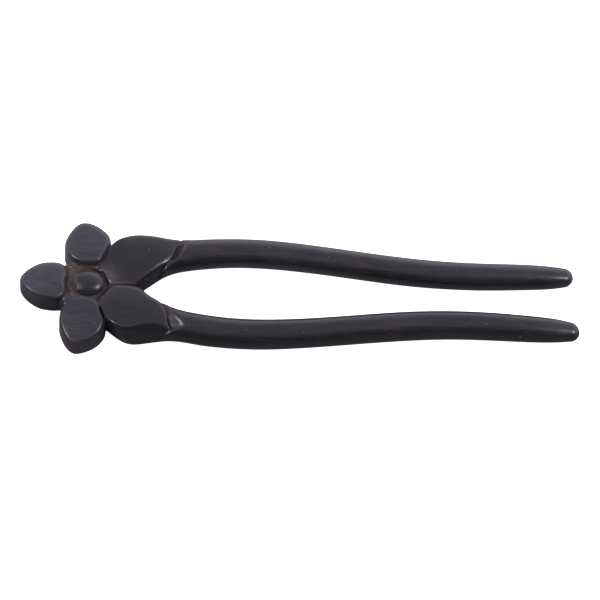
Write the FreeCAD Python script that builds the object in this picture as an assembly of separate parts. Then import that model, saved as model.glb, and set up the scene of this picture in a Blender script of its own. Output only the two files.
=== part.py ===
import FreeCAD, Part
import math
import os

from FreeCAD import Matrix, Vector

# Hair pin: a two-pronged hair fork in dark carved wood, with a five-petalled flower at its head.
#
# The pin lies on its flat back. +X runs from the flower to the prong tips, +Y is the pin's left
# and +Z is the carved face. The XZ plane is its mirror plane, and the origin is the centre of its
# footprint. Each prong grows out of a petal. Three more petals close the flower round an oval
# hub, and a domed boss on a round stem plugs into the hub. The pieces are glued edge to edge,
# along upright seams that run out from the hub's middle, with a V groove carved over each seam.

# ---- driving dimensions, in millimetres ------------------------------------------------------
LENGTH = 150.0  # end of the crown petal to the prong tips
THICKNESS = 8.0  # of the flower, at the crown of a petal
HUB_FROM_END = 18.0  # hub's middle, measured back from the crown petal's end

HUB_LONG = 11.4  # the hub is a little longer along the pin than across it
HUB_WIDE = 10.4
HUB_TOP = 5.7
BOSS_LONG = 9.2
BOSS_WIDE = 8.5
BOSS_RISE = 2.7  # of the dome above the hub
STEM_RADIUS = 1.5
STEM_LENGTH = 3.0
STEM_CLEARANCE = 0.05

CROWN_RADIUS = 24.0  # of the sphere that crowns a petal's face
EDGE_ROUND = 1.4  # round of a petal's outer edge on the carved face
BACK_ROUND = 0.8  # and on the back
GROOVE_DEPTH = 2.0  # of the V over a seam, below the crown
GROOVE_WIDTH = 2.0

GOUGE_RADIUS = 2.4  # of the cut that frees a petal's tip from its prong
GOUGE_DEPTH = 1.3
PRONG_END_ROUND = 2.1

# ---- plan of the flower, as (along, across) from the hub's middle, left half -----------------
CROWN_NOTCH = (-6.3, 6.4)  # where the crown petal meets a side petal
PRONG_NOTCH = (5.9, 11.9)  # where a side petal meets a prong's petal
# A petal's outline closes past the hub's middle, and is cut off at the seams.
CROWN_PETAL_END = (-HUB_FROM_END, 0.0)
CROWN_PETAL_SIDE = [(-16.9, 2.4), (-13.6, 4.95), (-9.6, 6.1), CROWN_NOTCH, (-1.0, 6.0)]
CROWN_PETAL_ROOT = (3.5, 0.0)
SIDE_PETAL_EDGE = [(-7.2, 10.2), (-6.1, 15.2), (-3.4, 18.8), (-1.5, 19.4), (1.5, 18.4), (4.7, 15.4)]
SIDE_PETAL_ROOT = [PRONG_NOTCH, (5.6, 5.0), (0.5, -1.5), (-4.8, 1.5), CROWN_NOTCH]
CROWN_PETAL_MIDDLE = (-9.0, 0.0)
SIDE_PETAL_MIDDLE = (-1.0, 11.0)

# ---- the left prong with its petal, in the pin's frame ---------------------------------------
# Each row is an upright section: x, inner edge, outer edge, bottom, top, and the power of its
# rounded outline, where 2 is an ellipse and a higher power is squarer.
PRONG_SECTIONS = [
    (-61.0, -4.0, 7.6, 0.0, THICKNESS, 4.2),
    (-54.0, -3.4, 10.4, 0.0, THICKNESS, 4.2),
    (-49.2, -2.2, 13.6, 0.0, THICKNESS, 4.2),
    (-45.6, -0.4, 15.75, 0.0, THICKNESS, 4.0),
    (-42.6, 1.5, 16.05, 0.0, 7.9, 3.7),
    (-39.2, 3.75, 15.65, 0.0, 7.8, 3.3),
    (-36.0, 5.6, 15.3, 0.0, 7.7, 2.9),
    (-32.5, 6.8, 15.5, 0.0, 7.6, 2.5),
    (-28.0, 7.85, 16.35, 0.0, 7.5, 2.15),
    (-21.5, 8.75, 17.15, 0.0, 7.5, 2.0),
    (-13.0, 9.15, 17.3, 0.0, 7.5, 2.0),
    (-2.0, 8.6, 16.65, 0.0, 7.5, 2.0),
    (12.0, 6.95, 14.95, 0.0, 7.5, 2.0),
    (27.0, 5.1, 13.1, 0.0, 7.5, 2.0),
    (40.0, 4.3, 12.1, 0.05, 7.45, 2.0),
    (52.0, 4.45, 11.85, 0.2, 7.3, 2.0),
    (62.0, 5.05, 12.0, 0.45, 7.05, 2.0),
    (LENGTH / 2, 6.05, 11.85, 0.95, 6.45, 2.0),
]
SECTION_POINTS = 24
GOUGE_INNER_END = (-36.6, 4.6)
GOUGE_OUTER_END = (-31.6, 15.5)

HUB_X = HUB_FROM_END - LENGTH / 2
CLEAR = 100.0  # far enough to pass right through the pin


def flower_point(plan, side=1, z=0.0):
    """A point of the flower's plan in the pin's frame. Side -1 is the right half."""
    return Vector(HUB_X + plan[0], side * plan[1], z)


def beyond(plan, side=1):
    """A point far out on the line from the hub's middle through a plan point."""
    stretch = 2 * CLEAR / math.hypot(*plan)
    return flower_point((plan[0] * stretch, plan[1] * stretch), side)


def smooth_loop(points):
    """A closed wire that runs smoothly through the points."""
    curve = Part.BSplineCurve()
    curve.interpolate(Points=points, PeriodicFlag=True)
    return Part.Wire(curve.toShape())


def mirrored(shape):
    return shape.mirror(Vector(0, 0, 0), Vector(0, 1, 0))


def hub_cylinder(bottom, top):
    """The hub's oval, as an upright solid."""
    oval = Part.Ellipse(Vector(HUB_X, 0, bottom), HUB_LONG / 2, HUB_WIDE / 2)
    return Part.Face(Part.Wire(oval.toShape())).extrude(Vector(0, 0, top - bottom))


def crowning_sphere(middle):
    """A sphere that touches the top of the flower over a petal's middle, seam underneath."""
    centre = flower_point(middle, 1, THICKNESS - CROWN_RADIUS)
    sphere = Part.makeSphere(CROWN_RADIUS, centre)
    sphere.rotate(centre, Vector(0, 1, 0), 90)
    return sphere


def seam_groove(plan, side=1):
    """The V that is carved over the seam from the hub's middle through a plan point."""
    lift = 1.0
    along = (beyond(plan, side) - flower_point((0, 0))).normalize()
    across = Vector(-along.y, along.x, 0) * GROOVE_WIDTH / 2 * (GROOVE_DEPTH + lift) / GROOVE_DEPTH
    bottom = flower_point((0, 0), 1, THICKNESS - GROOVE_DEPTH)
    top = bottom + Vector(0, 0, GROOVE_DEPTH + lift)
    outline = Part.makePolygon([bottom, top + across, top - across, bottom])
    return Part.Face(outline).extrude(along * CLEAR)


def between_seams(first, last):
    """A tall wedge on the plan angle between two lines from the hub's middle."""
    corners = [flower_point((0, 0)), first, last]
    wedge = Part.Face(Part.makePolygon(corners + corners[:1])).extrude(Vector(0, 0, CLEAR))
    return wedge.translate(Vector(0, 0, -CLEAR / 2))


def petal(outline, middle, region, grooves):
    """A petal with a crowned face and rounded edges, cut to its share of the flower."""
    body = Part.Face(smooth_loop(outline)).extrude(Vector(0, 0, THICKNESS))
    body = body.common(crowning_sphere(middle))
    on_back = [edge for edge in body.Edges if edge.BoundBox.ZMax < THICKNESS / 4]
    on_face = [edge for edge in body.Edges if edge.BoundBox.ZMin > THICKNESS / 4]
    body = body.makeFillet(BACK_ROUND, on_back).makeFillet(EDGE_ROUND, on_face)
    return body.common(region).cut(grooves + [hub_cylinder(-1, CLEAR)])


def crown_petal():
    left = [flower_point(plan) for plan in CROWN_PETAL_SIDE]
    right = [flower_point(plan, -1) for plan in reversed(CROWN_PETAL_SIDE)]
    outline = [flower_point(CROWN_PETAL_END)] + left + [flower_point(CROWN_PETAL_ROOT)] + right
    region = between_seams(beyond(CROWN_NOTCH), beyond(CROWN_NOTCH, -1))
    grooves = [seam_groove(CROWN_NOTCH), seam_groove(CROWN_NOTCH, -1)]
    return petal(outline, CROWN_PETAL_MIDDLE, region, grooves)


def left_petal():
    outline = [flower_point(plan) for plan in SIDE_PETAL_EDGE + SIDE_PETAL_ROOT]
    region = between_seams(beyond(CROWN_NOTCH), beyond(PRONG_NOTCH))
    grooves = [seam_groove(CROWN_NOTCH), seam_groove(PRONG_NOTCH)]
    return petal(outline, SIDE_PETAL_MIDDLE, region, grooves)


def prong_section(x, inner, outer, bottom, top, power):
    """One rounded section of a prong, as a closed wire across the pin."""
    half_wide, half_tall = (outer - inner) / 2, (top - bottom) / 2
    points = []
    for i in range(SECTION_POINTS):
        turn = 2 * math.pi * i / SECTION_POINTS
        y = math.copysign(abs(math.cos(turn)) ** (2 / power), math.cos(turn))
        z = math.copysign(abs(math.sin(turn)) ** (2 / power), math.sin(turn))
        points.append(Vector(x, inner + half_wide * (1 + y), bottom + half_tall * (1 + z)))
    return smooth_loop(points)


def gouge():
    """The round cut across a prong at its petal's tip."""
    height = THICKNESS + GOUGE_RADIUS - GOUGE_DEPTH
    start = Vector(*GOUGE_INNER_END, height)
    along = Vector(*GOUGE_OUTER_END, height) - start
    overrun = along.Length
    return Part.makeCylinder(GOUGE_RADIUS, 3 * overrun, start - along, along)


def left_prong():
    """A prong and the petal that it grows out of, as one piece."""
    body = Part.makeLoft([prong_section(*row) for row in PRONG_SECTIONS], True, False)
    tip = [edge for edge in body.Edges if edge.BoundBox.XMin > LENGTH / 2 - 0.1]
    body = body.makeFillet(PRONG_END_ROUND, tip)
    body = body.common(between_seams(beyond((1, 0)), beyond(PRONG_NOTCH)))
    return body.cut([seam_groove(PRONG_NOTCH), seam_groove((1, 0)), hub_cylinder(-1, CLEAR), gouge()])


def hub():
    """The flower's middle, with a blind hole for the boss's stem."""
    body = hub_cylinder(0, HUB_TOP)
    hole_depth = STEM_LENGTH + STEM_CLEARANCE
    start = flower_point((0, 0), 1, HUB_TOP - hole_depth)
    return body.cut(Part.makeCylinder(STEM_RADIUS + STEM_CLEARANCE, hole_depth, start))


def boss():
    """An oval dome on a turned stem."""
    ball = Part.makeSphere(1.0, Vector(0, 0, 0), Vector(0, 0, 1), 0, 90, 360)
    stretch = Matrix()
    stretch.scale(BOSS_LONG / 2, BOSS_WIDE / 2, BOSS_RISE)
    dome = ball.transformGeometry(stretch)
    dome.translate(flower_point((0, 0), 1, HUB_TOP))
    stem = Part.makeCylinder(STEM_RADIUS, STEM_LENGTH, flower_point((0, 0), 1, HUB_TOP - STEM_LENGTH))
    return dome.fuse(stem).removeSplitter()


def main():
    os.makedirs("parts", exist_ok=True)
    pieces = {
        "crown_petal": crown_petal(),
        "left_petal": left_petal(),
        "left_prong": left_prong(),
        "hub": hub(),
        "boss": boss(),
    }
    pieces["right_petal"] = mirrored(pieces["left_petal"])
    pieces["right_prong"] = mirrored(pieces["left_prong"])
    for name, piece in pieces.items():
        piece.exportStep(f"parts/{name}.step")
        print(name, "valid:", piece.isValid(), "solids:", len(piece.Solids), "mm3:", round(piece.Volume, 1))


main()
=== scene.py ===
"""The looks of a carved ebony hair fork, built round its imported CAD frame.

The pin lies on its back: +X runs from the flower to the prong tips, +Y is its left, +Z its carved
face. Shapes are worked out in millimetres as signed distance fields, negative inside the wood,
meshed on a fine grid and scaled to metres at the end. A limb is a prong with the petal that it
grows out of.
"""

import math
from functools import partial

import bpy
import numpy as np
import openvdb
from mathutils import Matrix, Vector


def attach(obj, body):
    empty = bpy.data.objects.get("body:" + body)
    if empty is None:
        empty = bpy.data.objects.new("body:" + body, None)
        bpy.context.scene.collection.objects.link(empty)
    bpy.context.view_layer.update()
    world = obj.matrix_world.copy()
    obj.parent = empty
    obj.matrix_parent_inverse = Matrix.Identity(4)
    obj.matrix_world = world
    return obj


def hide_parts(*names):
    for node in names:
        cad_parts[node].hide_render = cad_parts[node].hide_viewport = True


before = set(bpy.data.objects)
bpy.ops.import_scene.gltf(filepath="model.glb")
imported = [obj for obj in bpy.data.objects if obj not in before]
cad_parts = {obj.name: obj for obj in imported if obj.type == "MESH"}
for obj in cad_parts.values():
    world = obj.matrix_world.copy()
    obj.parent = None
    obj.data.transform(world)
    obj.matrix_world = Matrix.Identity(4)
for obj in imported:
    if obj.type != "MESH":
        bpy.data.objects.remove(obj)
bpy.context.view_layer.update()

MM = 0.001
HUB = np.array((-57.0, 0.0))  # middle of the flower, where the seams between petals meet

# ---- the flower's plan, and how its two halves differ -----------------------------------------------
# Outlines are given points of smooth closed loops. Both halves have Y positive, and the right one
# is mirrored at the end. Each half has these keys:
#   side            1 on the pin's left, -1 on its right
#   dome            of the side petal's face: its middle, its height, and its radii along X and Y
#   petal, limb     outlines of the side petal's face and of the limb's petal's face
#   stop_edge       points (y, x) of the line where the limb's petal ends
#   limb_dome       of the limb's petal's face, like dome
#   limb_lips       width and drop of that face's rolled edges, first its right and then its left
#   roll            width of the band that rolls over at that face's end
#   outer_softness  how gently the face falls at its outer edge
#   inner_softness  and at its inner edge
#   shoulder        height beside the petal, between the fork's crotch and the scallop
#   shoulder_end    where along X the shoulder gives way to the scallop
#   facet           height of the scallop at the petal's end, and its rise away from it
#   facet_lift      rise, start and end along Y of the two slopes that close the scallop's ends
#   facet_bare      how bare the wood is in the scallop
#   swell           extra width of the prong just past its petal
#   lean            how much the prong's top leans outwards
CROWN_OUTLINE_SIDE = [
    (-74.0, 2.2),
    (-72.0, 4.25),
    (-69.4, 5.75),
    (-66.6, 6.25),
    (-64.4, 6.1),
    (-62.9, 4.9),
    (-62.3, 2.8),
]
CROWN_OUTLINE_ENDS = [(-74.9, 0.0), (-62.7, 0.0)]
LEFT = {
    "side": 1,
    "dome": ((-57.6, 11.4), 7.95, 34, 50),
    "petal": [
        (-62.3, 7.6),
        (-63.8, 10.2),
        (-63.7, 13.9),
        (-62.3, 17.2),
        (-60.4, 19.4),
        (-58.7, 19.8),
        (-56.4, 19.2),
        (-53.9, 17.6),
        (-52.0, 15.5),
        (-51.4, 12.9),
        (-52.6, 9.7),
        (-54.2, 6.2),
        (-56.8, 5.5),
        (-59.2, 5.65),
        (-60.9, 6.4),
    ],
    "limb": [
        (-51.2, 0.9),
        (-48.8, 0.05),
        (-45.0, -0.1),
        (-42.2, 1.9),
        (-39.9, 3.9),
        (-37.8, 5.55),
        (-35.6, 7.4),
        (-34.3, 10.0),
        (-33.3, 12.6),
        (-31.6, 14.9),
        (-35.6, 15.9),
        (-39.6, 16.1),
        (-43.4, 16.15),
        (-46.6, 15.4),
        (-49.2, 13.9),
        (-51.0, 12.4),
        (-52.8, 8.9),
        (-54.1, 5.3),
        (-52.8, 3.7),
    ],
    "stop_edge": [
        (0.0, -44.2),
        (2.0, -42.1),
        (3.9, -39.9),
        (5.6, -37.9),
        (7.2, -35.9),
        (9.5, -34.4),
        (12.0, -33.5),
        (14.5, -32.2),
        (17.0, -30.5),
    ],
    "limb_dome": ((-45.5, 10.0), 8.0, 62, 25),
    "limb_lips": ((2.0, 0.3), (1.8, 0.5)),
    "roll": 0.8,
    "outer_softness": 0.1,
    "inner_softness": 0.0,
    "shoulder": 3.7,
    "shoulder_end": (-39.5, -35.0),
    "facet": (5.6, 1.0),
    "facet_lift": ((0.7, 13.5, 15.3), (0.8, 9.2, 6.4)),
    "facet_bare": 0.5,
    "swell": 0.6,
    "lean": 0.1,
}
RIGHT = {
    "side": -1,
    "dome": ((-57.6, 5.5), 7.9, 30, 40),
    "petal": [
        (-62.2, 7.2),
        (-63.4, 9.6),
        (-63.6, 12.2),
        (-62.6, 15.4),
        (-61.1, 17.9),
        (-59.4, 19.1),
        (-57.1, 18.8),
        (-54.5, 17.5),
        (-52.4, 15.2),
        (-51.6, 12.5),
        (-52.7, 9.5),
        (-54.1, 6.0),
        (-56.8, 5.4),
        (-59.4, 5.5),
        (-61.0, 6.1),
    ],
    "limb": [
        (-51.2, 1.0),
        (-48.8, 0.1),
        (-45.0, 0.1),
        (-42.2, 1.3),
        (-39.6, 3.6),
        (-37.2, 5.2),
        (-35.75, 7.4),
        (-35.2, 10.2),
        (-34.2, 13.0),
        (-33.7, 15.0),
        (-36.6, 14.0),
        (-40.0, 13.9),
        (-43.2, 14.5),
        (-46.6, 14.7),
        (-49.2, 13.4),
        (-51.0, 11.8),
        (-52.6, 8.9),
        (-53.9, 5.2),
        (-52.7, 3.7),
    ],
    "stop_edge": [
        (0.0, -43.8),
        (2.0, -42.0),
        (4.1, -40.0),
        (5.8, -37.3),
        (7.4, -35.95),
        (9.5, -35.4),
        (12.0, -34.7),
        (14.5, -33.7),
        (17.0, -32.5),
    ],
    "limb_dome": ((-45.5, 8.6), 7.9, 62, 36),
    "limb_lips": ((1.0, 0.2), (2.3, 0.75)),
    "roll": 0.1,
    "outer_softness": 0.45,
    "inner_softness": 0.3,
    "shoulder": 4.9,
    "shoulder_end": (-39.5, -35.2),
    "facet": (5.15, 0.78),
    "facet_lift": ((1.5, 13.2, 15.0), (0.95, 13.6, 9.4)),
    "facet_bare": 0.55,
    "swell": 0.0,
    "lean": 0.0,
}
LOOP_STEPS = 144
CROWN_SEAM = (-63.4, 6.6)  # outer end of the seam beside the crown petal, on the left
PRONG_SEAM = (-51.2, 12.4)  # and of the seam beside the limb
SEAM_ROUND = 0.03

# ---- heights of the carved faces --------------------------------------------------------------------
CROWN_DOME = ((-69.5, 0.0), 7.75, 36, 50)
RIGHT_LIP = (1.1, 0.38)  # width and drop of the rolled edge of a crown or side petal, on its right
LEFT_LIP = (2.3, 0.75)  # and on its left
LIP_CHANGE = 4  # to either side of the face's middle, where the one becomes the other
GROOVE_SLOPE = 2.6  # how steeply a face falls outside its outline
GROOVE_SOFT = 0.12  # and how gently it starts to
FACE_ROUND = 0.55
SIDE_BACK_ROUND = 1.2
CROWN_BACK_ROUND = 2.3
WALL_LEAN = 0.06  # the petals' walls lean in as they rise
WALL_LEAN_HEIGHT = 3  # where they stand on their outlines
PETAL_FILLET = 0.7  # between neighbouring petals

# ---- the hub, and the low web that fills the corners beside the crown petal -------------------------
HUB_RADII = (5.7, 5.2)
HUB_FLOOR = 5.5  # of the ring cut round the boss
HUB_RISE = 0.3  # of that floor towards the boss, for each millimetre inside the rim
HUB_RISE_REACH = 2
HUB_DIP = 1.0  # of that floor on the side of the prongs
HUB_DIP_X = (-2, 4)  # along X from the hub's middle
RING_FILLET = 0.1  # between the ring and the petals round it
WEB_REACH = 3.3  # outside the hub's rim
WEB_HEIGHT = 5.5
WEB_FILLET = 0.9

# ---- the prongs: x, inner edge, outer edge, bottom, top, squareness ---------------------------------
PRONG_ROWS = [
    (-60.0, -7.0, 6.5, 0.0, 9.8, 6.0),
    (-54.0, -7.0, 9.7, 0.0, 9.8, 6.0),
    (-51.1, -6.0, 12.4, 0.0, 9.8, 6.0),
    (-49.0, -4.4, 14.2, 0.0, 9.8, 6.0),
    (-46.6, -2.5, 15.8, 0.0, 9.8, 6.0),
    (-43.6, -0.25, 16.45, 0.0, 9.4, 5.0),
    (-40.6, 2.1, 16.15, 0.0, 8.8, 3.8),
    (-37.6, 4.5, 15.75, 0.0, 8.0, 2.8),
    (-34.6, 6.15, 15.5, 0.0, 7.6, 2.3),
    (-31.4, 7.1, 15.75, 0.0, 7.5, 2.1),
    (-27.0, 7.95, 16.5, 0.0, 7.5, 2.06),
    (-21.0, 8.7, 17.15, 0.0, 7.5, 2.0),
    (-13.0, 9.05, 17.35, 0.0, 7.5, 2.0),
    (-2.0, 8.5, 16.65, 0.0, 7.5, 2.0),
    (12.0, 6.95, 14.95, 0.0, 7.5, 2.0),
    (27.0, 5.1, 13.1, 0.0, 7.5, 2.0),
    (40.0, 4.3, 12.1, 0.05, 7.5, 2.0),
    (52.0, 4.4, 12.0, 0.1, 7.4, 2.0),
    (62.0, 4.95, 12.15, 0.35, 7.1, 2.0),
    (69.0, 5.6, 11.9, 0.8, 6.45, 2.1),
    (74.7, 6.7, 11.3, 1.5, 5.45, 2.2),
]
TIP_ROUND = 2.3
SWELL_X = -34  # a prong swells most here, and over this length to either side
SWELL_LENGTH = 5
LEAN_SPAN = (-32, -18)  # along X, where a prong starts to lean and leans fully
LEAN_HEIGHTS = (2, 5)
LEAN_WIDTH = 1.6  # extra width for each unit of lean
LEAST_SIZE = 1e-6  # these two keep the distance finite in the middle of a section
LEAST_SLOPE = 0.05

# ---- the limb's petal. A pair is a stretch along X or Y, in millimetres -----------------------------
HUB_END_X = -46.5  # the face curves down faster towards the hub from here
HUB_END_RADIUS = 22
HUB_END_Y = (14.5, 11.5)
LIPS_X = (-50, -45)  # the rolled edges fade in here
OUTER_EDGE_X = (-46, -42)  # the outer edge softens here
OUTER_EDGE_Y = (9, 13)
INNER_EDGE_Y = (5, 1)  # the inner edge softens here, and further out past INNER_EDGE_X
INNER_EDGE_X = -43
INNER_EDGE_SLANT = 0.8
ROLL_SLOPE = 0.22  # of the band that rolls over at the petal's end
ROLL_LEAST = 0.6
ROLL_GROWTH = 0.8  # the band widens by this share along ROLL_X
ROLL_X = (-41, -38)
ROLL_Y = (11, 8)
END_SLANT = 0.85  # the petal's end line is aslant, so it is nearer than it is along X
STOP_HEIGHT = 6.3  # the petal's end wall starts here and falls steeply
STOP_SLOPE = 3.2
RIDGE_SOFT = 0.6
SHOULDER_FALL = 0.9  # away from the petal's end
LIMB_ROUND = 0.275
PAST_END = (-0.3, 0.7)  # past the petal's end the edges are rounder
PAST_END_ROUND = 0.25
INNER_ROUND = 0.75  # and rounder again on the inner side
INNER_ROUND_Y = (9, 7)
INNER_ROUND_X = (-42, -38)

# ---- the boss ---------------------------------------------------------------------------------------
BOSS_RADII = (4.6, 4.05)
BOSS_BASE = 5.6
BOSS_TOP = 7.95
BOSS_POWER = 1.9  # 2 is an ellipse
BOSS_THICK = 2.6  # turns shares of the boss's size into rough millimetres
BOSS_FLAT = (-0.65, -0.32, 0.68)  # a flat cut on the flank by the crown petal faces this way
BOSS_FLAT_REACH = 3.3
BOSS_FLAT_ROUND = 0.15
BOSS_FOOT_ROUND = 0.1


# ---- curves and distances ---------------------------------------------------------------------------
def ramp(low, high, value):
    """Rises smoothly from 0 at low to 1 at high."""
    share = np.clip((value - low) / (high - low), 0, 1)
    return share * share * (3 - 2 * share)


def smooth_through(xs, ys):
    """A natural cubic spline through points with rising xs, as a function of x."""
    xs, ys = np.asarray(xs, float), np.asarray(ys, float)
    gap = np.diff(xs)
    system, target = np.eye(len(xs)), np.zeros(len(xs))
    for i in range(1, len(xs) - 1):
        system[i, i - 1 : i + 2] = gap[i - 1], 2 * (gap[i - 1] + gap[i]), gap[i]
        target[i] = 6 * ((ys[i + 1] - ys[i]) / gap[i] - (ys[i] - ys[i - 1]) / gap[i - 1])
    bend = np.linalg.solve(system, target)

    def at(x):
        x = np.clip(x, xs[0], xs[-1])
        i = np.clip(np.searchsorted(xs, x) - 1, 0, len(gap) - 1)
        left, right = (xs[i + 1] - x) / gap[i], (x - xs[i]) / gap[i]
        bow = ((left**3 - left) * bend[i] + (right**3 - right) * bend[i + 1]) * gap[i] ** 2 / 6
        return left * ys[i] + right * ys[i + 1] + bow

    return at


def smooth_loop(points):
    """Evenly spaced points of a smooth closed curve through the given ones."""
    overlap = 4
    wrapped = np.array(points[-overlap:] + points + points[: overlap + 1], float)
    along = np.concatenate([[0], np.cumsum(np.hypot(*np.diff(wrapped, axis=0).T))])
    spots = np.linspace(along[overlap], along[overlap + len(points)], LOOP_STEPS, endpoint=False)
    return np.stack([smooth_through(along, wrapped[:, axis])(spots) for axis in (0, 1)], 1)


def distance_to_loop(loop, x, y):
    """Distance in plan to a closed loop, negative inside it."""
    x, y = np.broadcast_arrays(x, y)
    nearest = np.full(x.shape, np.inf)
    inside = np.zeros(x.shape, bool)
    for (ax, ay), (bx, by) in zip(loop, np.roll(loop, -1, axis=0)):
        run, rise = bx - ax, by - ay
        share = np.clip(((x - ax) * run + (y - ay) * rise) / (run**2 + rise**2), 0, 1)
        nearest = np.minimum(nearest, (x - ax - share * run) ** 2 + (y - ay - share * rise) ** 2)
        if ay != by:
            inside ^= ((ay > y) != (by > y)) & (x < ax + (y - ay) * run / rise)
    return np.where(inside, -1, 1) * np.sqrt(nearest)


def round_meet(a, b, radius):
    """What is inside both shapes, with the edge between them rounded."""
    corner = np.hypot(np.maximum(a + radius, 0), np.maximum(b + radius, 0))
    return np.minimum(np.maximum(a, b), -radius) + corner


def soft_join(a, b, reach):
    """What is inside either shape, with a fillet between them."""
    blend = np.maximum(reach - np.abs(a - b), 0) / reach
    return np.minimum(a, b) - blend**2 * reach / 4


def side_of_seam(end, x, y):
    """Distance in plan from a seam that starts at the hub's middle, positive on its left."""
    run, rise = np.array(end) - HUB
    return ((y - HUB[1]) * run - (x - HUB[0]) * rise) / math.hypot(run, rise)


def hub_distance(x, y):
    """Rough distance in plan from the hub's oval rim."""
    return (np.hypot((x - HUB[0]) / HUB_RADII[0], y / HUB_RADII[1]) - 1) * min(HUB_RADII)


# ---- the wood ---------------------------------------------------------------------------------------
crown_points = CROWN_OUTLINE_ENDS[:1] + CROWN_OUTLINE_SIDE + CROWN_OUTLINE_ENDS[1:]
crown_loop = smooth_loop(crown_points + [(x, -y) for x, y in CROWN_OUTLINE_SIDE[::-1]])
prong_x = [row[0] for row in PRONG_ROWS]
prong_inner, prong_outer, prong_bottom, prong_top, prong_power = (
    smooth_through(prong_x, [row[column] for row in PRONG_ROWS]) for column in range(1, 6)
)
for half in (LEFT, RIGHT):
    half["petal"] = smooth_loop(half["petal"])
    half["limb"] = smooth_loop(half["limb"])
    half["stop_x"] = smooth_through(*zip(*half["stop_edge"]))


def face_height(dome, side, inset, x, y, soft=GROOVE_SOFT, lips=(RIGHT_LIP, LEFT_LIP), lip_share=1):
    """Height of a petal's carved face, from its dome and the distance inside the petal's edge."""
    (middle_x, middle_y), top, radius_x, radius_y = dome
    height = top - (x - middle_x) ** 2 / (2 * radius_x) - (y - middle_y) ** 2 / (2 * radius_y)
    leftness = ramp(-LIP_CHANGE, LIP_CHANGE, side * (y - middle_y))
    lip_width, lip_drop = (right + (left - right) * leftness for right, left in zip(*lips))
    lip = lip_share * lip_drop * np.clip(1 - inset / lip_width, 0, 1) ** 2
    fall = GROOVE_SLOPE * soft * np.logaddexp(0, -inset / soft)
    return height - lip - fall


def petal_field(loop, dome, side, back_round, x, y, z):
    """A petal with a crowned face, leaning walls and a flat back."""
    edge = distance_to_loop(loop, x, y)
    wall = edge + WALL_LEAN * (z - WALL_LEAN_HEIGHT)
    body = round_meet(wall, z - face_height(dome, side, -edge, x, y), FACE_ROUND)
    return round_meet(body, -z, back_round)


def prong_body(half, x, y, z):
    """A prong before its petal's face is carved."""
    inner = prong_inner(x)
    swell = half["swell"] * np.exp(-(((x - SWELL_X) / SWELL_LENGTH) ** 2))
    outer = prong_outer(x) + swell + LEAN_WIDTH * half["lean"] * ramp(*LEAN_SPAN, x)
    middle = (inner + outer) / 2
    z = z + half["lean"] * ramp(*LEAN_SPAN, x) * ramp(*LEAN_HEIGHTS, z) * (y - middle)
    bottom, top, power = prong_bottom(x), prong_top(x), prong_power(x)
    half_wide, half_tall = (outer - inner) / 2, (top - bottom) / 2
    across = np.abs(y - middle) / half_wide
    up = np.abs(z - (top + bottom) / 2) / half_tall
    size = (across**power + up**power) ** (1 / power)
    slope = np.hypot(across ** (power - 1) / half_wide, up ** (power - 1) / half_tall)
    slope = slope / np.maximum(size, LEAST_SIZE) ** (power - 1)
    body = (size - 1) / np.maximum(slope, LEAST_SLOPE)
    return round_meet(body, x - prong_x[-1], TIP_ROUND)


def scallop(half, x, y):
    """Distance past the end of a limb's petal, and the height of the scallop cut there."""
    beyond = (x - half["stop_x"](y)) * END_SLANT
    deep, rise = half["facet"]
    scoop = deep + rise * beyond
    for lift, start, end in half["facet_lift"]:
        scoop = scoop + lift * ramp(start, end, y)
    shoulder = half["shoulder"] - SHOULDER_FALL * np.abs(beyond)
    return beyond, shoulder + (scoop - shoulder) * ramp(*half["shoulder_end"], x)


def limb_face(half, beyond, x, y):
    """Height of the carved face of a limb's petal, with the wall that it ends in."""
    inset = -distance_to_loop(half["limb"], x, y)
    outer = half["outer_softness"] * ramp(*OUTER_EDGE_Y, y) * ramp(*OUTER_EDGE_X, x)
    slanted_y = y - INNER_EDGE_SLANT * np.maximum(x - INNER_EDGE_X, 0)
    soft = GROOVE_SOFT + outer + half["inner_softness"] * ramp(*INNER_EDGE_Y, slanted_y)
    dome, lips = half["limb_dome"], half["limb_lips"]
    face = face_height(dome, half["side"], inset, x, y, soft, lips, ramp(*LIPS_X, x))
    face = face - np.minimum(x - HUB_END_X, 0) ** 2 / (2 * HUB_END_RADIUS) * ramp(*HUB_END_Y, y)
    roll = half["roll"] * (ROLL_LEAST + ROLL_GROWTH * ramp(*ROLL_X, x)) * ramp(*ROLL_Y, y)
    face = face - ROLL_SLOPE * np.maximum(beyond + roll, 0)
    return soft_join(face, STOP_HEIGHT - STOP_SLOPE * beyond, RIDGE_SOFT)


def limb_field(half, x, y, z):
    """A limb, with the scallop cut between its petal and its prong."""
    beyond, facet = scallop(half, x, y)
    top = np.maximum(limb_face(half, beyond, x, y), facet)
    inner_round = INNER_ROUND * ramp(*INNER_ROUND_Y, y) * ramp(*INNER_ROUND_X, x)
    edge_round = LIMB_ROUND + ramp(*PAST_END, beyond) * (PAST_END_ROUND + inner_round)
    return round_meet(prong_body(half, x, y, z), z - top, edge_round)


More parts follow.
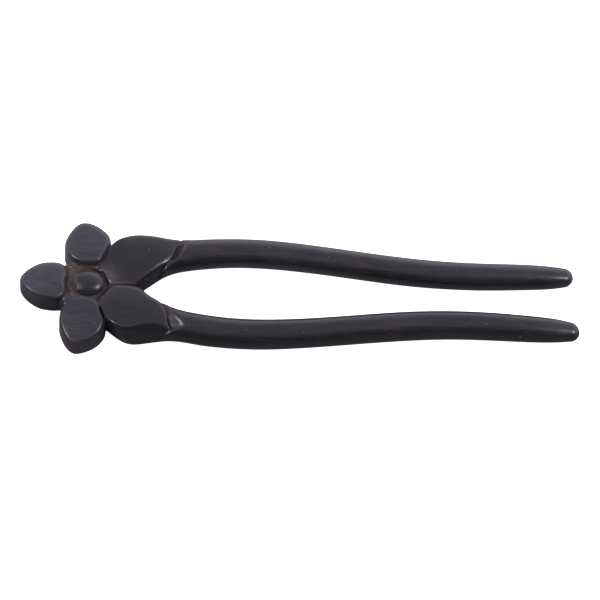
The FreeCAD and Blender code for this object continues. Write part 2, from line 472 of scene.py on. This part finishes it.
def half_wood(half, x, y, z):
    """One half of the carved pin without its boss, Y positive."""
    crown = petal_field(crown_loop, CROWN_DOME, half["side"], CROWN_BACK_ROUND, x, y, z)
    side_petal = petal_field(half["petal"], half["dome"], half["side"], SIDE_BACK_ROUND, x, y, z)
    wood = soft_join(crown, side_petal, PETAL_FILLET)
    rim = hub_distance(x, y)
    rise = HUB_RISE * np.clip(-rim, 0, HUB_RISE_REACH)
    ring_floor = HUB_FLOOR + rise - HUB_DIP * ramp(*HUB_DIP_X, x - HUB[0])
    hub = round_meet(rim - WEB_REACH, z - np.where(rim < 0, ring_floor, WEB_HEIGHT), WEB_FILLET)
    hub = round_meet(hub, -z, SIDE_BACK_ROUND)
    wood = soft_join(wood, hub, np.where(rim < 0, RING_FILLET, WEB_FILLET))
    wood = soft_join(wood, limb_field(half, x, y, z), np.where(rim < 0, RING_FILLET, PETAL_FILLET))
    return np.maximum(wood, -z)  # the fillets would swell the flat back


def wood_field(x, y, z):
    """The whole carved pin without its boss."""
    left, right = (half_wood(half, x, np.abs(y), z) for half in (LEFT, RIGHT))
    return np.where(y > 0, left, right)


def split_off(wood, beside, x, y):
    """The part of the wood between two seams and outside the hub's rim."""
    seams = round_meet(beside, -hub_distance(x, y), SEAM_ROUND)
    return round_meet(wood, seams, SEAM_ROUND)


def crown_petal_field(x, y, z):
    right_seam = (CROWN_SEAM[0], -CROWN_SEAM[1])
    beside = np.maximum(-side_of_seam(CROWN_SEAM, x, y), side_of_seam(right_seam, x, y))
    return split_off(wood_field(x, y, z), beside, x, y)


def side_petal_field(half, x, y, z):
    beside = np.maximum(side_of_seam(CROWN_SEAM, x, y), -side_of_seam(PRONG_SEAM, x, y))
    return split_off(half_wood(half, x, y, z), beside, x, y)


def prong_field(half, x, y, z):
    beside = np.maximum(side_of_seam(PRONG_SEAM, x, y), -y)
    return split_off(half_wood(half, x, y, z), beside, x, y)


def hub_field(x, y, z):
    return round_meet(wood_field(x, y, z), hub_distance(x, y), SEAM_ROUND)


def boss_cut(x, y, z):
    """Distance outside the flat cut on the boss."""
    along, across, up = BOSS_FLAT
    return along * (x - HUB[0]) + across * y + up * (z - BOSS_BASE) - BOSS_FLAT_REACH


def boss_field(x, y, z):
    """An oval dome with steep sides, a flat cut on one flank and a flat underside on the hub."""
    across = np.hypot((x - HUB[0]) / BOSS_RADII[0], y / BOSS_RADII[1])
    up = np.maximum(z - BOSS_BASE, 0) / (BOSS_TOP - BOSS_BASE)
    size = (across**BOSS_POWER + up**BOSS_POWER) ** (1 / BOSS_POWER)
    dome = (size - 1) * BOSS_THICK
    cut = round_meet(dome, boss_cut(x, y, z), BOSS_FLAT_ROUND)
    return round_meet(cut, BOSS_BASE - z, BOSS_FOOT_ROUND)


# ---- how freshly cut the wood is, with painted shade on one side of the ring, and its edge wear with a painted highlight. A pair is a stretch, from none to full ---
RING_RIM = (4.6, 0.4)  # distances outside the hub's rim
RING_PRONG_SIDE = (-1, 4)  # along X from the hub's middle, where painted shade takes away bare brown
RING_PRONG_SHADE = 0.75
RING_LEFT_SIDE = (-3, 4)  # along Y, where more is bare
RING_LEAST = 0.8
RING_GROWTH = 0.7
RING_HEIGHTS = ((6.9, 6.0), (2.0, 4.0))
SEAM_Y = 0.45
SEAM_BAND = (0.7, 0.1)
SEAM_X = (-43.0, -45.0)
SEAM_SHARE = 0.6
SCOOP_DEPTH = (0.3, 0.1)
SCOOP_PAST_END = (-0.3, 0.1)
SCOOP_HEIGHTS = (3.0, 4.0)
SCOOP_X = (-29, -31)
FLAT_DEPTH = (-0.35, -0.05)
FLAT_RIM = (0.6, 0.0)
FLAT_HEIGHTS = (5.3, 5.7)
FLAT_SHARE = 1.1
STAIN = (-59.0, -18.8, 4.4)  # a reddish patch on the outer wall of the right petal
STAIN_SPREAD = 3
STAIN_SHARE = 0.8
MOST_BARE = 1.5
# sharp convex edges show wear, and the colour paints a highlight there
WEAR_AND_HIGHLIGHT_BULGE = (0.2, 0.85)
BULGE_SMOOTHING = 3


def bare_ring(x, y, z):
    """Bare wood in the ring round the boss, in the corners beside it and in the seam of the limbs, with
    less of it on the prongs' side as painted shade.
    """
    # painted shade: less bare brown on the prongs' side of the ring, beside the boss
    prong_side_shade = RING_PRONG_SHADE * ramp(*RING_PRONG_SIDE, x - HUB[0])
    left_gain = RING_LEAST + RING_GROWTH * ramp(*RING_LEFT_SIDE, y)
    ring = ramp(*RING_RIM, hub_distance(x, y)) * (1 - prong_side_shade) * left_gain
    seam = ramp(*SEAM_BAND, np.abs(y - SEAM_Y)) * ramp(*SEAM_X, x)
    high, low = RING_HEIGHTS
    return np.maximum(ring, SEAM_SHARE * seam) * (ramp(*high, z) * ramp(*low, z))


def bare_scallop(half, x, y, z):
    """Bare wood in the scallop past the end of a limb's petal."""
    beyond, facet = scallop(half, x, np.abs(y))
    cut = ramp(*SCOOP_DEPTH, np.abs(z - facet)) * ramp(*SCOOP_PAST_END, beyond)
    return half["facet_bare"] * (cut * ramp(*SCOOP_HEIGHTS, z) * ramp(*SCOOP_X, x))


def bare_flat(x, y, z):
    """Bare wood on the flat cut of the boss."""
    cut = ramp(*FLAT_DEPTH, boss_cut(x, y, z)) * ramp(*FLAT_RIM, hub_distance(x, y))
    return FLAT_SHARE * (cut * ramp(*FLAT_HEIGHTS, z))


def stain(x, y, z):
    """The reddish patch, strongest in its middle."""
    away = sum((value - middle) ** 2 for value, middle in zip((x, y, z), STAIN))
    return STAIN_SHARE * np.exp(-away / STAIN_SPREAD)


def fresh_cut(half, x, y, z):
    """Where the knife left bare brown wood."""
    bare = bare_ring(x, y, z) + bare_scallop(half, x, y, z) + bare_flat(x, y, z) + stain(x, y, z)
    return np.clip(bare, 0, MOST_BARE)


def bulge(points, normals, quads):
    """How sharply the surface bulges at each vertex, from its neighbours."""
    start = quads.ravel()
    end = np.roll(quads, -1, axis=1).ravel()
    start, end = np.concatenate([start, end]), np.concatenate([end, start])
    count = np.bincount(start, minlength=len(points))
    away = points[start] - points[end]
    lift = np.bincount(start, (away * normals[start]).sum(1), len(points))
    sharpness = lift / np.bincount(start, (away**2).sum(1), len(points))
    for _ in range(BULGE_SMOOTHING):
        around = np.bincount(start, sharpness[end], len(points)) / count
        sharpness = (sharpness + around) / 2
    return sharpness


# ---- meshes -----------------------------------------------------------------------------------------
FLOWER_STEP = 0.2
PRONG_STEP = 0.6  # along a prong, past its petal
BOSS_STEP = 0.16
NUDGE = 0.02
LEAST_STEEPNESS = 0.2
LONGEST_MOVE = 0.1
SETTLING_MOVES = 2


def settle(points, field):
    """Moves mesh points onto the exact surface of a field."""
    nudges = np.eye(3) * NUDGE
    change = [field(*(points + nudge).T) - field(*(points - nudge).T) for nudge in nudges]
    slope = np.stack(change, 1) / (2 * NUDGE)
    steepness = np.maximum((slope**2).sum(1), LEAST_STEEPNESS)
    for _ in range(SETTLING_MOVES):
        move = -field(*points.T)[:, None] * slope / steepness[:, None]
        points = points + np.clip(move, -LONGEST_MOVE, LONGEST_MOVE)
    return points


def make_object(name, points, quads, half):
    """A mesh object with its faces turned outwards, and at each vertex how bare it is and how much edge
    wear and painted highlight it has.
    """
    corners = points[quads]
    volume = np.einsum("ij,ij->", np.cross(corners[:, 0], corners[:, 1]), corners[:, 2])
    if volume < 0:
        quads = quads[:, ::-1]
    mesh = bpy.data.meshes.new(name)
    mesh.from_pydata((points * MM).tolist(), [], quads.tolist())
    mesh.shade_smooth()
    normals = np.array([normal.vector for normal in mesh.vertex_normals])
    # wear on sharp edges, with a painted highlight in the colour
    wear_and_highlight = ramp(*WEAR_AND_HIGHLIGHT_BULGE, bulge(points, normals, quads))
    for layer, values in (("fresh_cut", fresh_cut(half, *points.T)), ("wear_and_highlight", wear_and_highlight)):
        attribute = mesh.attributes.new(layer, "FLOAT", "POINT")
        attribute.data.foreach_set("value", values.astype(np.float32))
    piece = bpy.data.objects.new(name, mesh)
    bpy.context.scene.collection.objects.link(piece)
    return piece


def mesh_field(name, field, half, xs, ys, zs):
    """A closed mesh object of the surface where a field is zero, mirrored for the right half."""
    values = field(xs[:, None, None], ys[None, :, None], zs[None, None, :])
    volume = openvdb.FloatGrid(1.0)
    volume.copyFromArray(np.clip(values, -1, 1).astype(np.float32))
    places, quads = volume.convertToQuads(0.0)
    axes = enumerate((xs, ys, zs))
    points = [np.interp(places[:, i], np.arange(len(axis)), axis) for i, axis in axes]
    points = settle(np.stack(points, 1), field)
    return make_object(name, points * (1, half["side"], 1), quads, half)


def steps(low, high, step=FLOWER_STEP):
    return np.arange(low, high + step, step)


# No grid line runs along a flat face of the wood, because that would leave doubled points.
flower_z = steps(-0.57, 8.8)
petal_grid = (steps(-65, -50), steps(3, 20.8), flower_z)
prong_steps = np.concatenate([steps(-55, -28), np.arange(-27.5, 76, PRONG_STEP)])
prong_grid = (prong_steps, steps(-0.57, 18.2), flower_z)
crown_grid = (steps(-76, -60), steps(-7.4, 7.4), flower_z)
hub_grid = (steps(-63.4, -50.6), steps(-5.83, 5.8), flower_z)
boss_grid = (steps(-62.2, -51.8, BOSS_STEP), steps(-4.8, 4.8, BOSS_STEP), steps(5.0, 8.8, BOSS_STEP))
carvings = [
    ("crown_petal", crown_petal_field, LEFT, crown_grid),
    ("hub", hub_field, LEFT, hub_grid),
    ("boss", boss_field, LEFT, boss_grid),
]
for name, half in (("left", LEFT), ("right", RIGHT)):
    carvings.append((name + "_petal", partial(side_petal_field, half), half, petal_grid))
    carvings.append((name + "_prong", partial(prong_field, half), half, prong_grid))
pieces = {node: mesh_field(node + "_carved", field, half, *grid) for node, field, half, grid in carvings}


# ---- materials. A pair is a stretch from none to full, and two more numbers say what it maps to -----
GRAIN = {  # scale along and across the grain, and detail
    "fine": ((260, 3000, 3000), 3),
    "broad": ((75, 1100, 1100), 3),
    "patches": ((70, 160, 160), 2),
    "pores": ((420, 4200, 4200), 2),
}
STREAK_ROUGHNESS = 0.6
GRAIN_SHARE = 0.5  # of each of the two kinds that are mixed
PIT_SHARE = 0.5
LIGHT_GRAIN = (0.32, 0.7)
RED_GRAIN = (0.52, 0.7)
BROWN_GRAIN = (0.35, 0.7)
BARE_PATCHES = (0.3, 0.7, 0.45, 1.0)
WEAR_AND_HIGHLIGHT_PATCHES = (0.3, 0.6, 0.0, 0.2)
PITS = (0.66, 0.76)
DUST = (0.84, 0.9)
DUST_SCALE = 1300
RED = (0.06, 0.03, 0.027, 1)
# The next colour, nearly black, paints shade on the wood.
SHADE_BLACK = (0.0035, 0.0025, 0.0045, 1)
DARK_BROWN = (0.032, 0.018, 0.016, 1)
LIGHT_BROWN = (0.11, 0.069, 0.057, 1)
# The next colour is wood worn at sharp edges, partly a painted highlight.
WEAR_AND_HIGHLIGHT_GREY = (0.1, 0.094, 0.104, 1)
PORE_BROWN = (0.006, 0.005, 0.005, 1)
DUST_GREY = (0.2, 0.19, 0.19, 1)
SHEEN_TINT = (0.78, 0.74, 1.0, 1)

# Where painted shade darkens the wood, in metres.
SIDE_SHADE = 0.47  # painted shade: the right side is this much darker
CROWN_WALL_SHADE = 0.5
LIMB_PETAL_X = (-0.03, -0.036)
LIMB_PETAL_Y = (0.0, 0.003)
RIGHT_PRONG_X = (-0.04, -0.034)
RIGHT_PRONG_Y = (-0.007, -0.015)
FLOWER_X = (-0.034, -0.04)
FLOWER_Y = (-0.002, -0.007)
CROWN_WALL_X = (-0.061, -0.066)
WALL_Z = (0.0065, 0.004)
FACE_TO_WALL = (1.0, 0.3)  # the painted shade on the right side is lighter on its walls than on its faces

# Roughness and bumps.
GRAIN_SHINE = (0.3, 0.75)
SHINIER, DULLER = 0.06, 0.1  # than the wood's own roughness, from one end of that to the other
BARE_ROUGHNESS = 0.12
WORN_SHINE = 0.14
LEAST_ROUGHNESS = 0.18
KNIFE_SCALE = 900
KNIFE_HEIGHT = 2.0
UNEVEN_SCALE = 170
UNEVEN_HEIGHT = 4.0
BUMP_DEPTH = 0.00003


def add_node(tree, kind, inputs, **settings):
    """A new node with its inputs linked or set, and its settings."""
    node = tree.nodes.new(kind)
    for key, value in settings.items():
        setattr(node, key, value)
    for key, value in inputs.items():
        if isinstance(value, bpy.types.NodeSocket):
            tree.links.new(value, node.inputs[key])
        else:
            node.inputs[key].default_value = value
    return node


def object_place(tree):
    return add_node(tree, "ShaderNodeTexCoord", {}).outputs["Object"]


def noise(tree, place, scale, detail, **more):
    inputs = {"Vector": place, "Scale": scale, "Detail": detail, **more}
    return add_node(tree, "ShaderNodeTexNoise", inputs).outputs[0]


def streaks(tree, place, scale, detail):
    """Noise stretched along the grain, which runs along X."""
    stretched = add_node(tree, "ShaderNodeMapping", {"Vector": place, "Scale": scale}).outputs[0]
    return noise(tree, stretched, 1, detail, Roughness=STREAK_ROUGHNESS)


def between(tree, value, low, high, start=0.0, end=1.0):
    """Maps a range of values onto another, smoothly and without going past its ends."""
    inputs = {"Value": value, "From Min": low, "From Max": high, "To Min": start, "To Max": end}
    return add_node(tree, "ShaderNodeMapRange", inputs, interpolation_type="SMOOTHSTEP").outputs[0]


def math_node(tree, operation, first, second):
    return add_node(tree, "ShaderNodeMath", {0: first, 1: second}, operation=operation).outputs[0]


def times(tree, first, second):
    return math_node(tree, "MULTIPLY", first, second)


def plus(tree, first, second):
    return math_node(tree, "ADD", first, second)


def minus(tree, first, second):
    return math_node(tree, "SUBTRACT", first, second)


def mix_color(tree, share, first, second):
    inputs = {"Factor": share, 6: first, 7: second}
    return add_node(tree, "ShaderNodeMix", inputs, data_type="RGBA", clamp_factor=True).outputs[2]


def wood_masks(tree):
    """Where the wood's looks change: its place, its grain, how bare it is, and its edge wear with a
    painted highlight.
    """
    place = object_place(tree)
    masks = {"place": place}
    for layer in ("fresh_cut", "wear_and_highlight"):
        masks[layer] = add_node(tree, "ShaderNodeAttribute", {}, attribute_name=layer).outputs["Fac"]
    for name, (scale, detail) in GRAIN.items():
        masks[name] = streaks(tree, place, scale, detail)
    masks["pit"] = times(tree, between(tree, masks["pores"], *PITS), PIT_SHARE)
    return masks


def painted_shade_share(tree, place, petal_shade_share):
    """Painted shade: how much darker the wood is on the left limb's petal, on the right and low on the
    crown's wall.
    """
    along, side, up = add_node(tree, "ShaderNodeSeparateXYZ", {"Vector": place}).outputs
    petal_side = between(tree, side, *LIMB_PETAL_Y, 0.0, petal_shade_share)
    left_limb_petal = times(tree, between(tree, along, *LIMB_PETAL_X), petal_side)
    prong_side = between(tree, side, *RIGHT_PRONG_Y, 0.0, SIDE_SHADE)
    right_prong = times(tree, between(tree, along, *RIGHT_PRONG_X), prong_side)
    flower_side = between(tree, side, *FLOWER_Y, 0.0, SIDE_SHADE)
    right_faces = times(tree, flower_side, between(tree, up, *WALL_Z, *FACE_TO_WALL))
    right_flower = times(tree, between(tree, along, *FLOWER_X), right_faces)
    crown = between(tree, along, *CROWN_WALL_X, 0.0, CROWN_WALL_SHADE)
    crown_wall = times(tree, crown, between(tree, up, *WALL_Z))
    darker = left_limb_petal
    for share in (right_prong, right_flower, crown_wall):
        darker = plus(tree, darker, share)
    return darker


def wood_color(tree, masks, dark, light, red_share, petal_shade):
    """Dark streaky grain with painted shade, brown where freshly cut, paler at sharp edges from wear and
    a painted highlight, with pores and specks of dust.
    """
    fine, patches = masks["fine"], masks["patches"]
    grain = plus(tree, times(tree, fine, GRAIN_SHARE), times(tree, patches, GRAIN_SHARE))
    color = mix_color(tree, between(tree, grain, *LIGHT_GRAIN), (*dark, 1), (*light, 1))
    red = times(tree, between(tree, masks["broad"], *RED_GRAIN), red_share)
    color = mix_color(tree, red, color, RED)
    # painted shade: darker on the right, low on the crown's wall and on the left limb's petal
    color = mix_color(tree, painted_shade_share(tree, masks["place"], petal_shade), color, SHADE_BLACK)
    brown = mix_color(tree, between(tree, fine, *BROWN_GRAIN), DARK_BROWN, LIGHT_BROWN)
    bare = times(tree, masks["fresh_cut"], between(tree, patches, *BARE_PATCHES))
    color = mix_color(tree, bare, color, brown)
    # sharp edges paler: wear, and partly a painted highlight
    wear_and_highlight = times(tree, masks["wear_and_highlight"], between(tree, patches, *WEAR_AND_HIGHLIGHT_PATCHES))
    color = mix_color(tree, wear_and_highlight, color, WEAR_AND_HIGHLIGHT_GREY)
    color = mix_color(tree, masks["pit"], color, PORE_BROWN)
    dust = between(tree, noise(tree, masks["place"], DUST_SCALE, 0), *DUST)
    return mix_color(tree, dust, color, DUST_GREY)


def wood_roughness(tree, masks, usual):
    """Rougher where freshly cut and smoother on sharp edges, where the wood wears."""
    rough = between(tree, masks["fine"], *GRAIN_SHINE, usual - SHINIER, usual + DULLER)
    rough = plus(tree, rough, times(tree, masks["fresh_cut"], BARE_ROUGHNESS))
    rough = minus(tree, rough, times(tree, masks["wear_and_highlight"], WORN_SHINE))
    return math_node(tree, "MAXIMUM", rough, LEAST_ROUGHNESS)


def wood_bumps(tree, masks):
    """Grain and pores, knife marks where freshly cut, and broad unevenness."""
    fine, broad = times(tree, masks["fine"], GRAIN_SHARE), times(tree, masks["broad"], GRAIN_SHARE)
    height = minus(tree, plus(tree, fine, broad), masks["pit"])
    knife = times(tree, noise(tree, masks["place"], KNIFE_SCALE, 2), masks["fresh_cut"])
    height = plus(tree, height, times(tree, knife, KNIFE_HEIGHT))
    uneven = noise(tree, masks["place"], UNEVEN_SCALE, 1)
    height = plus(tree, height, times(tree, uneven, UNEVEN_HEIGHT))
    inputs = {"Height": height, "Strength": 1.0, "Distance": BUMP_DEPTH}
    return add_node(tree, "ShaderNodeBump", inputs).outputs[0]


def ebony(name, dark, light, red_share, roughness, petal_shade=0.0, coat=0.3):
    """Polished ebony, from its two grain colours, its reddish share and its usual roughness."""
    material = bpy.data.materials.new(name)
    material.use_nodes = True
    tree = material.node_tree
    shader = tree.nodes["Principled BSDF"]
    masks = wood_masks(tree)
    color = wood_color(tree, masks, dark, light, red_share, petal_shade)
    tree.links.new(color, shader.inputs["Base Color"])
    tree.links.new(wood_roughness(tree, masks, roughness), shader.inputs["Roughness"])
    tree.links.new(wood_bumps(tree, masks), shader.inputs["Normal"])
    shader.inputs["IOR"].default_value = 1.52
    shader.inputs["Sheen Weight"].default_value = 0.04
    shader.inputs["Sheen Roughness"].default_value = 0.45
    shader.inputs["Sheen Tint"].default_value = SHEEN_TINT
    shader.inputs["Coat Weight"].default_value = coat
    shader.inputs["Coat Roughness"].default_value = 0.15
    return material


woods = {
    "ebony_petal": ebony("ebony_petal", (0.024, 0.0215, 0.031), (0.071, 0.064, 0.089), 0.4, 0.42),
    # the prong's wood also has painted shade on its left limb's petal
    "ebony_prong": ebony("ebony_prong", (0.0062, 0.0051, 0.0078), (0.024, 0.02, 0.031), 0.6, 0.36, 0.6),
    "ebony_hub": ebony("ebony_hub", (0.012, 0.01, 0.012), (0.035, 0.03, 0.034), 0.5, 0.45),
    "ebony_boss": ebony("ebony_boss", (0.01, 0.009, 0.013), (0.03, 0.027, 0.038), 0.2, 0.33, coat=0.12),
}
for node, piece in pieces.items():
    slot = "ebony_" + node.split("_")[-1]
    piece.data.materials.append(woods[slot])
    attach(piece, "root")
    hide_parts(node)


# ---- stage ------------------------------------------------------------------------------------------
FLOOR_SIZE = 6
FLOOR_HEIGHT = -0.0001
PAPER_WHITE = (0.92, 0.92, 0.92, 1)
PAPER_GLOW = 1.2
BOUNCE_SPAN = (0.0, 0.018)  # along Y, where the paper's bounce grows
BOUNCE = (0.27, 0.65)
STUDIO_COLOR = (0.95, 0.93, 1.06, 1)
LOW_DOWN = (1.0, 0.2)  # these four are stretches of a direction's parts, and what they map to
OVERHEAD = (0.6, 0.95, 0.13, 0.5)
AT_BACK = (-0.2, 0.5)
TOWARDS_TIPS = (-0.45, 0.3, 0.6, 1.1)
BACK_STRENGTH = 1.15
SOFTBOX_PLACES = {"left_softbox": (-0.77, -0.12, 0.74), "right_softbox": (0.77, -0.12, 0.74)}
SOFTBOX_SIZE = 0.28
SOFTBOX_POWER = 4
AZIMUTH, ELEVATION, TILT = (math.radians(angle) for angle in (-5.427, 55.0, 6.432))
DISTANCE = 0.4404
LENS = 97.8
SHIFT = (-0.0003, 0.005)


def white_paper():
    """Paper that the camera sees blown out to white, while what it lights up on the pin stays dim."""
    paper = bpy.data.materials.new("paper")
    paper.use_nodes = True
    tree = paper.node_tree
    seen = tree.nodes["Principled BSDF"]
    seen.inputs["Base Color"].default_value = PAPER_WHITE
    seen.inputs["Roughness"].default_value = 0.9
    seen.inputs["Emission Color"].default_value = (1, 1, 1, 1)
    seen.inputs["Emission Strength"].default_value = PAPER_GLOW
    behind = add_node(tree, "ShaderNodeSeparateXYZ", {"Vector": object_place(tree)}).outputs["Y"]
    bounce = between(tree, behind, *BOUNCE_SPAN, *BOUNCE)
    dim = add_node(tree, "ShaderNodeBsdfDiffuse", {"Color": bounce}).outputs[0]
    is_seen = add_node(tree, "ShaderNodeLightPath", {}).outputs["Is Camera Ray"]
    both = add_node(tree, "ShaderNodeMixShader", {0: is_seen, 1: dim, 2: seen.outputs[0]}).outputs[0]
    tree.links.new(both, tree.nodes["Material Output"].inputs["Surface"])
    return paper


def studio():
    """A world that is bright low down at the back and dim behind the camera."""
    world = bpy.data.worlds.new("studio")
    world.use_nodes = True
    sky = world.node_tree
    direction = add_node(sky, "ShaderNodeTexCoord", {}).outputs["Generated"]
    across, away, up = add_node(sky, "ShaderNodeSeparateXYZ", {"Vector": direction}).outputs
    at_back = times(sky, between(sky, away, *AT_BACK), between(sky, across, *TOWARDS_TIPS))
    back = times(sky, times(sky, between(sky, up, *LOW_DOWN), at_back), BACK_STRENGTH)
    overhead = between(sky, up, *OVERHEAD)
    background = sky.nodes["Background"]
    background.inputs["Color"].default_value = STUDIO_COLOR
    sky.links.new(plus(sky, back, overhead), background.inputs["Strength"])
    return world


def softbox(name, place):
    """A square lamp that faces the pin."""
    light = bpy.data.lights.new(name, "AREA")
    light.shape = "RECTANGLE"
    light.size, light.size_y = SOFTBOX_SIZE, SOFTBOX_SIZE
    light.energy = SOFTBOX_POWER
    lamp = bpy.data.objects.new(name, light)
    lamp.location = place
    lamp.rotation_euler = Vector(place).to_track_quat("Z", "Y").to_euler()
    bpy.context.scene.collection.objects.link(lamp)


def aimed_camera():
    """A camera that looks at the frame's origin from above the pin's right side."""
    level = math.cos(ELEVATION)
    back = Vector((math.sin(AZIMUTH) * level, -math.cos(AZIMUTH) * level, math.sin(ELEVATION)))
    right = Vector((0, 0, 1)).cross(back).normalized()
    up = back.cross(right)
    tilted_right = right * math.cos(TILT) + up * math.sin(TILT)
    tilted_up = up * math.cos(TILT) - right * math.sin(TILT)
    rows = ((*tilted_right, 0), (*tilted_up, 0), (*back, 0), (*(back * DISTANCE), 1))
    data = bpy.data.cameras.new("camera")
    data.lens = LENS
    data.shift_x, data.shift_y = SHIFT
    camera = bpy.data.objects.new("camera", data)
    camera.matrix_world = Matrix(rows).transposed()
    bpy.context.scene.collection.objects.link(camera)
    return camera


bpy.ops.mesh.primitive_plane_add(size=FLOOR_SIZE)
floor = bpy.context.object
floor.name = "floor"
floor.location.z = FLOOR_HEIGHT
floor.data.materials.append(white_paper())
bpy.context.scene.world = studio()
for name, place in SOFTBOX_PLACES.items():
    softbox(name, place)
bpy.context.scene.camera = aimed_camera()
bpy.context.scene.view_settings.view_transform = "Standard"
